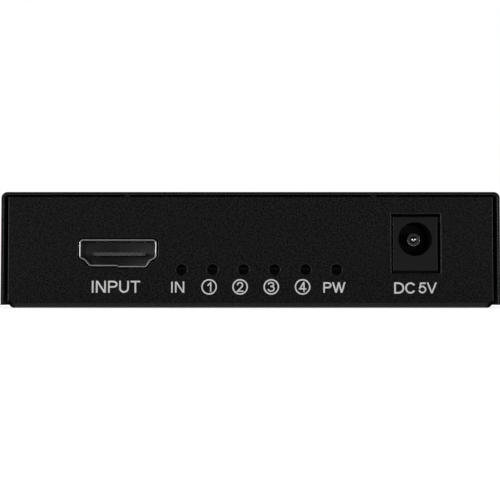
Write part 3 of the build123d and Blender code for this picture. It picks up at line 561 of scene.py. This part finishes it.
def finish_print(name, bm, turn):
    """Stands flat ink up on a panel's outer face, as a finished piece on the case."""
    bmesh.ops.recalc_face_normals(bm, faces=bm.faces)
    bmesh.ops.rotate(bm, verts=bm.verts, cent=(0, 0, 0), matrix=Matrix.Rotation(pi / 2, 3, "X"))
    bmesh.ops.translate(bm, verts=bm.verts, vec=(0, panel_y, 0))
    bmesh.ops.rotate(bm, verts=bm.verts, cent=(0, 0, 0), matrix=Matrix.Rotation(turn, 3, "Z"))
    mesh = bpy.data.meshes.new(name)
    bm.to_mesh(mesh)
    bm.free()
    mesh.materials.append(printed_ink)
    piece = bpy.data.objects.new(name, mesh)
    bpy.context.scene.collection.objects.link(piece)
    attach(piece, "case")
    print("printed", name, "faces", len(mesh.polygons))


print("front panel at", round(panel_y / MM, 2), "mm, rear panel at", round(-panel_y / MM, 2), "mm")

# %% [markdown]
# A word is set letter by letter until it fills its box exactly, so its letters scale in width as the
# box asks. Strokes of one letter cross, and each is a shade thicker than the last, so that no two
# faces share one plane.

# %% Words on the input panel
LAYER_STEP = 0.08  # how much thicker each next stroke is, as a share of the ink


def print_word(name, text, box, pen, turn=FRONT):
    """Prints a word whose ink fills a box (left, right, low, high) in millimetres."""
    left, right, low, high = box
    total = sum(sum(letters[letter][:3]) for letter in text)
    total -= letters[text[0]][1] + letters[text[-1]][2]
    unit = (right - left) / total
    place = left - letters[text[0]][1] * unit
    bm = bmesh.new()
    for letter in text:
        width, before, after, strokes = letters[letter]
        place += before * unit
        letter_box = [side * MM for side in (place, place + width * unit, low, high)]
        for layer, (ends, path) in enumerate(strokes):
            thickness = ink_thickness * (1 + LAYER_STEP * layer)
            add_stroke(bm, ends, path, letter_box, pen * MM, thickness)
        place += (width + after) * unit
    finish_print(name, bm, turn)


# Each word: name, text, its box and its pen, in millimetres.
front_words = [
    ("word_input", "INPUT", (-30.39, -21.12, 2.87, 5.17), 0.315),
    ("word_in", "IN", (-15.22, -12.68, 2.90, 5.01), 0.29),
    ("word_power", "PW", (13.92, 18.17, 2.86, 4.90), 0.3),
    ("word_dc", "DC", (27.46, 31.58, 2.71, 4.87), 0.32),
    ("word_volts", "5V", (32.16, 35.62, 2.77, 4.84), 0.29),
]
for name, text, box, pen in front_words:
    print_word(name, text, box, pen)

# %% [markdown]
# The four outputs are marked by a digit in a ring. Some typefaces have ringed digits ready-made, but
# the ring is simply one more closed stroke of the same pen work.

# %% Digits in rings
ring_radius = 1.495
ring_pen = 0.265
ring_steps = 48
digit_height = 1.90
digit_pen = 0.255
digit_row = 4.0  # height of the digits' middle above the table
digit_places = {"1": -7.93, "2": -2.0, "3": 3.96, "4": 9.95}


def print_ringed_digit(name, digit, x, turn=FRONT):
    """Prints one ringed digit, centred on a place of the panel's row."""
    bm = bmesh.new()
    ring_box = [side * MM for side in (x - ring_radius, x + ring_radius,
                                       digit_row - ring_radius, digit_row + ring_radius)]
    circle = arc(0.5, 0.5, 0.5, 0.5, 0, 360, ring_steps)
    add_stroke(bm, CLOSED, circle, ring_box, ring_pen * MM, ink_thickness)
    finish_print(f"{name}_ring", bm, turn)
    width = letters[digit][0] * digit_height
    digit_box = (x - width / 2, x + width / 2,
                 digit_row - digit_height / 2, digit_row + digit_height / 2)
    print_word(f"{name}_digit", digit, digit_box, digit_pen, turn)


for digit, x in digit_places.items():
    print_ringed_digit(f"mark_front_{digit}", digit, x)

# %% [markdown]
# The output panel isn't in the photograph. It could stay bare, but such a panel needs marks to be of
# use, so it gets the same kind: a ringed digit under each socket and one word between them. Seen from
# behind, the first output is on the left.

# %% Marks on the output panel
rear_word_box = (-5.4, 5.4, 2.84, 5.02)
rear_word_pen = 0.31
for digit in digit_places:
    shell_low, shell_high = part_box(f"output_{digit}_shell")
    middle = (shell_low.x + shell_high.x) / 2 / MM
    print_ringed_digit(f"mark_rear_{digit}", digit, -middle, REAR)
print_word("word_output", "OUTPUT", rear_word_box, rear_word_pen, REAR)

# %% [markdown]
# ## Studio
#
# The photograph is a product shot: a pale floor, a white background and soft lamps. A ready-made
# panorama could light the case, but a few lamps say exactly what the nickel lips and the pin's tip
# reflect. The floor is plain, lit paint. So that it reads as white without more light on the object,
# it also glows, but only as the camera sees it and as metal or glass shows it. The glow's fall-off is
# painted shade and light: it is weaker near the case, which paints a shade around the case where its
# soft shadow falls, and stronger further off, which paints light where the lamps don't reach.

# %% Floor
floor_drop = 0.02 * MM
floor_reach = 3.0
bm = bmesh.new()
bmesh.ops.create_grid(bm, x_segments=1, y_segments=1, size=floor_reach)
bmesh.ops.translate(bm, verts=bm.verts, vec=(0, 0, -floor_drop))
floor_mesh = bpy.data.meshes.new("studio_floor")
bm.to_mesh(floor_mesh)
bm.free()
floor = bpy.data.objects.new("studio_floor", floor_mesh)
bpy.context.scene.collection.objects.link(floor)
print("floor is", 2 * floor_reach, "m wide")

# %% The floor's pale paint and its glow
paint_level, paint_roughness, paint_specular = 0.6, 0.8, 0.1
# Painted shade and light: less glow near the case paints a shade around it, and more glow far off
# paints light where the lamps don't reach.
near, near_glow_painted_shade = 0.15, 0.6
far, far_glow_painted_light = 0.6, 0.85

floor_material = bpy.data.materials.new("studio_floor")
floor_material.use_nodes = True
tree = floor_material.node_tree
floor_shader = tree.nodes["Principled BSDF"]
floor_shader.inputs["Roughness"].default_value = paint_roughness
floor_shader.inputs["Specular IOR Level"].default_value = paint_specular
floor_shader.inputs["Base Color"].default_value = (paint_level, paint_level, paint_level, 1)
floor_shader.inputs["Emission Color"].default_value = (1, 1, 1, 1)
seen = add_node(tree, "ShaderNodeLightPath")
shown = seen.outputs["Is Camera Ray"]
for ray in ("Is Glossy Ray", "Is Transmission Ray"):
    shown = arithmetic(tree, "MAXIMUM", shown, seen.outputs[ray])
place = add_node(tree, "ShaderNodeTexCoord").outputs["Object"]
reach = add_node(tree, "ShaderNodeVectorMath", operation="LENGTH")
tree.links.new(place, reach.inputs["Vector"])
level = map_range(tree, reach.outputs["Value"], near, far, near_glow_painted_shade, far_glow_painted_light)
glow = arithmetic(tree, "MULTIPLY", shown, level)
tree.links.new(glow, floor_shader.inputs["Emission Strength"])
floor_mesh.materials.append(floor_material)
print("the floor glows", near_glow_painted_shade, "near the case and", far_glow_painted_light, "beyond", far, "m")

# %% [markdown]
# The room is white behind the object, as the camera sees it, and dim behind the camera, so the black
# coat stays black. One white all round would be simpler, but it would turn the coat grey. The sky's
# strength therefore follows the direction: low towards the camera's side, and high on the far side.

# %% Background and room
room_level, background_level = 0.06, 0.9
room_side, background_side = -0.15, 0.35  # how far a direction points to the rear

world = bpy.data.worlds.new("studio_room")
bpy.context.scene.world = world
world.use_nodes = True
tree = world.node_tree
tree.nodes.clear()
seen = add_node(tree, "ShaderNodeLightPath")
direction = add_node(tree, "ShaderNodeTexCoord")
split = add_node(tree, "ShaderNodeSeparateXYZ")
tree.links.new(direction.outputs["Generated"], split.inputs["Vector"])
behind_object = map_range(tree, split.outputs["Y"], room_side, background_side,
                          room_level, background_level)
strength = arithmetic(tree, "MAXIMUM", seen.outputs["Is Camera Ray"], behind_object)
background = add_node(tree, "ShaderNodeBackground")
background.inputs["Color"].default_value = (1, 1, 1, 1)
tree.links.new(strength, background.inputs["Strength"])
leave = add_node(tree, "ShaderNodeOutputWorld")
tree.links.new(background.outputs["Background"], leave.inputs["Surface"])
print("room", room_level, "background", background_level)


# %% [markdown]
# Two low lamps stand in front of the case, one on each side, and the left one is stronger. They are
# 24 cm wide and 17 cm tall, 62 cm away, and they draw the bright lines on the sockets' lips and on
# the cut edges. Taller ones would also glare on the cover's top when it is seen from behind. A large
# weak lamp overhead fills in the rest.

# %% Lamps
def soft_lamp(name, azimuth, height, distance, width, tall, power):
    """A rectangular soft lamp that faces the case; azimuth 0 is straight in front."""
    lamp = bpy.data.lights.new(name, "AREA")
    lamp.shape = "RECTANGLE"
    lamp.size = width
    lamp.size_y = tall
    lamp.energy = power
    holder = bpy.data.objects.new(name, lamp)
    bpy.context.scene.collection.objects.link(holder)
    angle = radians(azimuth)
    holder.location = (distance * sin(angle), -distance * cos(angle), height)
    aim = Vector((0, 0, aim_height)) - Vector(holder.location)
    holder.rotation_euler = aim.to_track_quat("-Z", "Y").to_euler()
    print(name, power, "W,", width, "by", tall, "m")


side_angle = 46
side_lamp = {"height": 0.08, "distance": 0.62, "width": 0.24, "tall": 0.17}
soft_lamp("lamp_left", azimuth=-side_angle, power=1.95, **side_lamp)
soft_lamp("lamp_right", azimuth=side_angle, power=1.3, **side_lamp)
soft_lamp("lamp_overhead", azimuth=180, height=0.80, distance=0.05, width=1.2, tall=1.0, power=2.0)

bpy.context.scene.view_settings.view_transform = "Standard"
